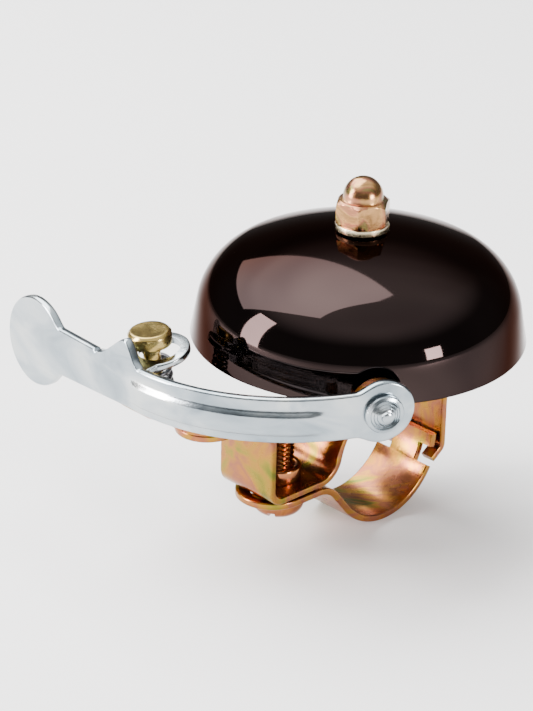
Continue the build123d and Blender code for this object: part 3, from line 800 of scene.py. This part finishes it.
HALF = LEVER_HEIGHT / 2
NECK_AT = BEND_END + TAIL_LENGTH - 6.5
TONGUE_AT = BEND_END + 5.0
EYE_ZONE = 3.0          # lengths where the eye's circle is the outline
PAD_ZONE = 4.0          # the same before the pad's centre
HUMP_RISE = 3.4
RIB_CENTRE = -0.5
RIB_HEIGHT = 0.55
PAD_DISH = 0.45
EDGE_ROLL = 0.42
MIDDLE_ROWS = 230
HUMP_START = BEND_END + HUMP_SPAN[0]
HUMP_END = BEND_END + HUMP_SPAN[1]
UPPER_EDGE = [(HUMP_END, HALF - 0.45), (HUMP_END + 0.35, HALF - 0.45), (HUMP_END + 0.7, HALF),
              (NECK_AT, 4.2)]
LOWER_EDGE = [(BEND_END, -HALF), (NECK_AT, -4.0)]


def lever_edges(s):
    """Lower and upper edge of the flat blank at a length from the eye."""
    eye = circle_half(s, 0.0, EYE_RADIUS)
    pad = circle_half(s, PAD_AT, PAD_RADIUS)
    upper = HALF + (stepwise(s, UPPER_EDGE) - HALF if s > HUMP_END else 0.0)
    if HUMP_START < s < HUMP_END:
        rise = smooth_step(s, HUMP_START, HUMP_START + HUMP_RISE)
        fall = 1 - smooth_step(s, HUMP_START + HUMP_RISE, HUMP_END) ** 0.8
        upper = HALF + (HUMP_HEIGHT + 0.2) * min(rise, fall) + 0.25 * fall
    lower = -stepwise(s, LOWER_EDGE)
    if s < 0:
        return -eye, eye
    if s > PAD_AT:
        return -pad, pad
    if s < 12:
        upper = blend_max(upper, eye, 0.9) if eye > 0 else upper
        lower = blend_max(lower, eye, 0.9) if eye > 0 else lower
    if s > NECK_AT - 4:
        upper = blend_max(upper, pad, 1.2) if pad > 0 else upper
        lower = blend_max(lower, pad, 1.2) if pad > 0 else lower
    return -lower, upper


def edge_distance(s, w, low, high):
    """Roughly how far a point of the blank is from its outline."""
    across = min(w - low, high - w)
    if s < EYE_ZONE:
        straight = across if s > EYE_ZONE - 0.5 else 0.0
        return max(straight, EYE_RADIUS - math.hypot(s, w))
    if s > PAD_AT - PAD_ZONE:
        return max(0.0, PAD_RADIUS - math.hypot(s - PAD_AT, w))
    return across


def relief(s, w):
    """How far the sheet is pressed out at a point: the rib, and the dished pad."""
    rib_length = smooth_step(s, 8.0, 12.0) * (1 - smooth_step(s, BEND_END - 3.0, BEND_END + 3.0))
    rib = 1 - smooth_step(abs(w - RIB_CENTRE), 1.35, 2.15)
    pressed = RIB_HEIGHT * rib_length * rib
    from_pad = math.hypot(s - PAD_AT, w)
    pressed -= PAD_DISH * (1 - smooth_step(from_pad, 0.0, PAD_RADIUS - 1.0))
    return pressed


def make_lever_web():
    """Eye, curved web, hump and pad: a grid over the blank, with rolled edges."""
    roll = EDGE_ROLL
    thick = LEVER_SHEET / 2
    lengths = [-EYE_RADIUS * math.cos(math.pi / 2 * i / 18) for i in range(18)]
    lengths += [PAD_AT * i / MIDDLE_ROWS for i in range(MIDDLE_ROWS)]
    lengths += [PAD_AT + PAD_RADIUS * math.sin(math.pi / 2 * i / 22) for i in range(23)]
    columns = 30
    rows = []
    for s in lengths:
        low, high = lever_edges(s)
        centre, normal = lever_place(s)
        front = []
        back = []
        for j in range(columns + 1):
            v = -1 + 2 * j / columns
            eased = math.sin(v * math.pi / 2) * 0.75 + v * 0.25
            w = (low + high) / 2 + (high - low) / 2 * eased
            d = max(0.0, edge_distance(s, w, low, high))
            inset = roll - math.sqrt(max(0.0, roll ** 2 - (roll - min(d, roll)) ** 2))
            out = relief(s, w)
            front.append(centre + UP * w + normal * (thick - inset + out))
            back.append(centre + UP * w + normal * (-thick + inset * 0.6 + out))
        rows.append((front, back))
    points = []
    for front, back in rows:
        points += front + back[::-1]
    faces = tube_faces(len(rows), 2 * (columns + 1))
    finish_mesh("lever_web", points, faces, blue_zinc, "lever", ["lever"],
                sharp=45)


def make_tongue():
    """Ring around the hammer, folded in from the top of the lever's web."""
    ring_centre = (HAMMER_FOOT + HAMMER_AXIS * (HEAD_TOP - RING_BELOW_TOP)
                   - OUTWARD * RING_SHIFT)
    place, radial = lever_place(TONGUE_AT)
    inward = radial * -math.cos(RING_TILT) + UP * math.sin(RING_TILT)
    ring_up = radial * math.sin(RING_TILT) + UP * math.cos(RING_TILT)
    across = ring_up.cross(inward).normalized()
    reach = (place - ring_centre).dot(radial) / math.cos(RING_TILT)
    root = ring_centre - inward * reach
    turn = Matrix((inward, across, ring_up)).transposed().to_4x4()
    matrix = Matrix.Translation(ring_centre) @ turn
    disc = disc_profile(RING_RADIUS, -TONGUE_SHEET / 2, TONGUE_SHEET / 2, 0.3)
    ring = plain_object("ring", *placed(lathe(disc), matrix))
    bar = sweep([root + inward * TONGUE_SINK, ring_centre],
                sheet_section(TONGUE_WIDTH, TONGUE_SHEET - 0.006, 0.29), across)
    combine(ring, plain_object("bar", *bar), "UNION")
    hole = lathe([(0, -2), (RING_HOLE_RADIUS, -2), (RING_HOLE_RADIUS, 2), (0, 2)], 72)
    combine(ring, plain_object("hole", *placed(hole, matrix)), "DIFFERENCE")
    ring.name = "lever_tongue"
    attach(ring, blue_zinc, "lever")


def make_lever_rivet():
    """Broad head with turned rings and a small nub in the middle."""
    head = EYE_DISTANCE + LEVER_SHEET / 2 + 0.1
    tail = 28.0
    origin = DOME_AXIS + EYE_ALONG * EYE_OFFSET + UP * EYE_Z
    profile = [(0, tail), (1.75, tail), (1.75, head), (3.0, head), (3.1, head + 0.1),
               (3.1, head + 0.62), (2.95, head + 0.85), (2.75, head + 0.92)]
    for radius in (2.5, 2.05, 1.6):
        crest = head + 0.92 + (2.75 - radius) * 0.42
        profile += [(radius, crest), (radius - 0.14, crest - 0.10), (radius - 0.28, crest + 0.03)]
    profile += [(1.15, head + 1.55), (0.95, head + 1.62), (0.85, head + 1.95),
                (0.55, head + 2.10), (0, head + 2.12)]
    turned("pivot_rivet", profile, axis_frame(origin, EYE_NORMAL), blue_zinc, "root",
           ["lever_rivet"], segments=96, sharp=25)


make_dome()
make_lock_washer()
make_cap_nut()
make_bracket()
make_band()
make_screw()
make_hammer()
make_spring()
make_lever_web()
make_tongue()
make_lever_rivet()

CARRIED_OVER = {
    "dome_post": post_steel,
    "seat_washer": fibre,
    "base_plate": chromate,
    "base_rivet": post_steel,
    "pivot_washer": blue_zinc,
    "hammer_arm": chromate,
    "arm_rivet": chromate_nut,
    "spring_seat": blue_zinc,
}
for node_name, finish in CARRIED_OVER.items():
    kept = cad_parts[node_name]
    kept.data.materials.clear()
    kept.data.materials.append(finish)


# ---- studio -------------------------------------------------------------------------------------
FLOOR_HALF = 3.0    # metres


def make_floor():
    """Pale flat floor under the bell."""
    n = Nodes("pale_floor")
    n.shader.inputs["Roughness"].default_value = 0.9
    n.put(n.shader.inputs["Base Color"],
          n.ramp(n.noise(6.0), [(0.3, (0.86, 0.86, 0.86)), (0.7, (0.88, 0.88, 0.88))]))
    half = FLOOR_HALF / MM
    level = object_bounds()[0][2] / MM
    points = [(-half, -half, level), (half, -half, level), (half, half, level),
              (-half, half, level)]
    floor = finish_mesh("floor", points, [[0, 1, 2, 3]], n.material, None)


def area_light(name, place, target, size, power, colour=(1.0, 1.0, 1.0)):
    """Soft box aimed at a point; places in millimetres."""
    lamp = bpy.data.lights.new(name, "AREA")
    lamp.shape = "RECTANGLE"
    lamp.size, lamp.size_y = size[0] * MM, size[1] * MM
    lamp.energy = power
    lamp.color = colour
    holder = bpy.data.objects.new(name, lamp)
    bpy.context.scene.collection.objects.link(holder)
    holder.location = Vector(place) * MM
    aim = (Vector(target) - Vector(place)).normalized()
    holder.rotation_euler = aim.to_track_quat("-Z", "Y").to_euler()


RIM_CENTRE = DOME_AXIS + UP * RIM_Z
VIEW_AZIMUTH = math.radians(46.0)
VIEW_ELEVATION = math.radians(24.53)
VIEW_ROLL = math.radians(2.27)
VIEW_DISTANCE = 450.0
AIM_LEFT = 14.95
AIM_BELOW = 3.82
LENS = 139.3
SENSOR_WIDTH = 36.0
SKY_STRENGTH = 1.9
SKY = ((0.46, 0.14), (0.86, 1.0))    # sine of the height, brightness


def make_camera():
    """Camera at the photograph's angle; returns its level forward and right directions."""
    away = Vector((math.sin(VIEW_AZIMUTH), math.cos(VIEW_AZIMUTH), 0))
    look = away * math.cos(VIEW_ELEVATION) - UP * math.sin(VIEW_ELEVATION)
    level_right = Vector((math.cos(VIEW_AZIMUTH), -math.sin(VIEW_AZIMUTH), 0))
    level_up = level_right.cross(look)
    right = level_right * math.cos(VIEW_ROLL) + level_up * math.sin(VIEW_ROLL)
    top = level_up * math.cos(VIEW_ROLL) - level_right * math.sin(VIEW_ROLL)
    place = RIM_CENTRE - look * VIEW_DISTANCE
    aim = RIM_CENTRE - right * AIM_LEFT - top * AIM_BELOW
    forward = (aim - place).normalized()
    right = (right - forward * right.dot(forward)).normalized()
    top = right.cross(forward)
    data = bpy.data.cameras.new("camera")
    data.sensor_width = SENSOR_WIDTH
    data.lens = LENS
    data.clip_start = 0.01
    camera = bpy.data.objects.new("camera", data)
    bpy.context.scene.collection.objects.link(camera)
    turn = Matrix((right, top, -forward)).transposed().to_4x4()
    camera.matrix_world = Matrix.Translation(place * MM) @ turn
    bpy.context.scene.camera = camera
    return away, level_right


def make_studio():
    """Camera, graded sky and three soft boxes."""
    away, right = make_camera()
    world = bpy.data.worlds.new("studio")
    bpy.context.scene.world = world
    world.use_nodes = True
    background = world.node_tree.nodes["Background"]
    tree = world.node_tree
    direction = tree.nodes.new("ShaderNodeTexCoord").outputs["Generated"]
    split = tree.nodes.new("ShaderNodeSeparateXYZ")
    tree.links.new(direction, split.inputs["Vector"])
    ramp = tree.nodes.new("ShaderNodeValToRGB")
    ramp.color_ramp.interpolation = "EASE"
    for element, (height, shade) in zip(ramp.color_ramp.elements, SKY):
        element.position = height
        element.color = (shade, shade, shade, 1.0)
    tree.links.new(split.outputs["Z"], ramp.inputs["Fac"])
    tree.links.new(ramp.outputs["Color"], background.inputs["Color"])
    background.inputs["Strength"].default_value = SKY_STRENGTH
    area_light("overhead", RIM_CENTRE + UP * 620 - right * 330 + away * 240, RIM_CENTRE,
               (760, 760), 17.0)
    area_light("left_box", RIM_CENTRE - right * 560 + UP * 150 - away * 130, RIM_CENTRE,
               (170, 480), 10.0, (1.0, 0.93, 0.92))
    area_light("right_box", RIM_CENTRE + right * 430 + UP * 90 - away * 330, RIM_CENTRE,
               (110, 150), 3.0, (1.0, 0.94, 0.93))


make_floor()
make_studio()
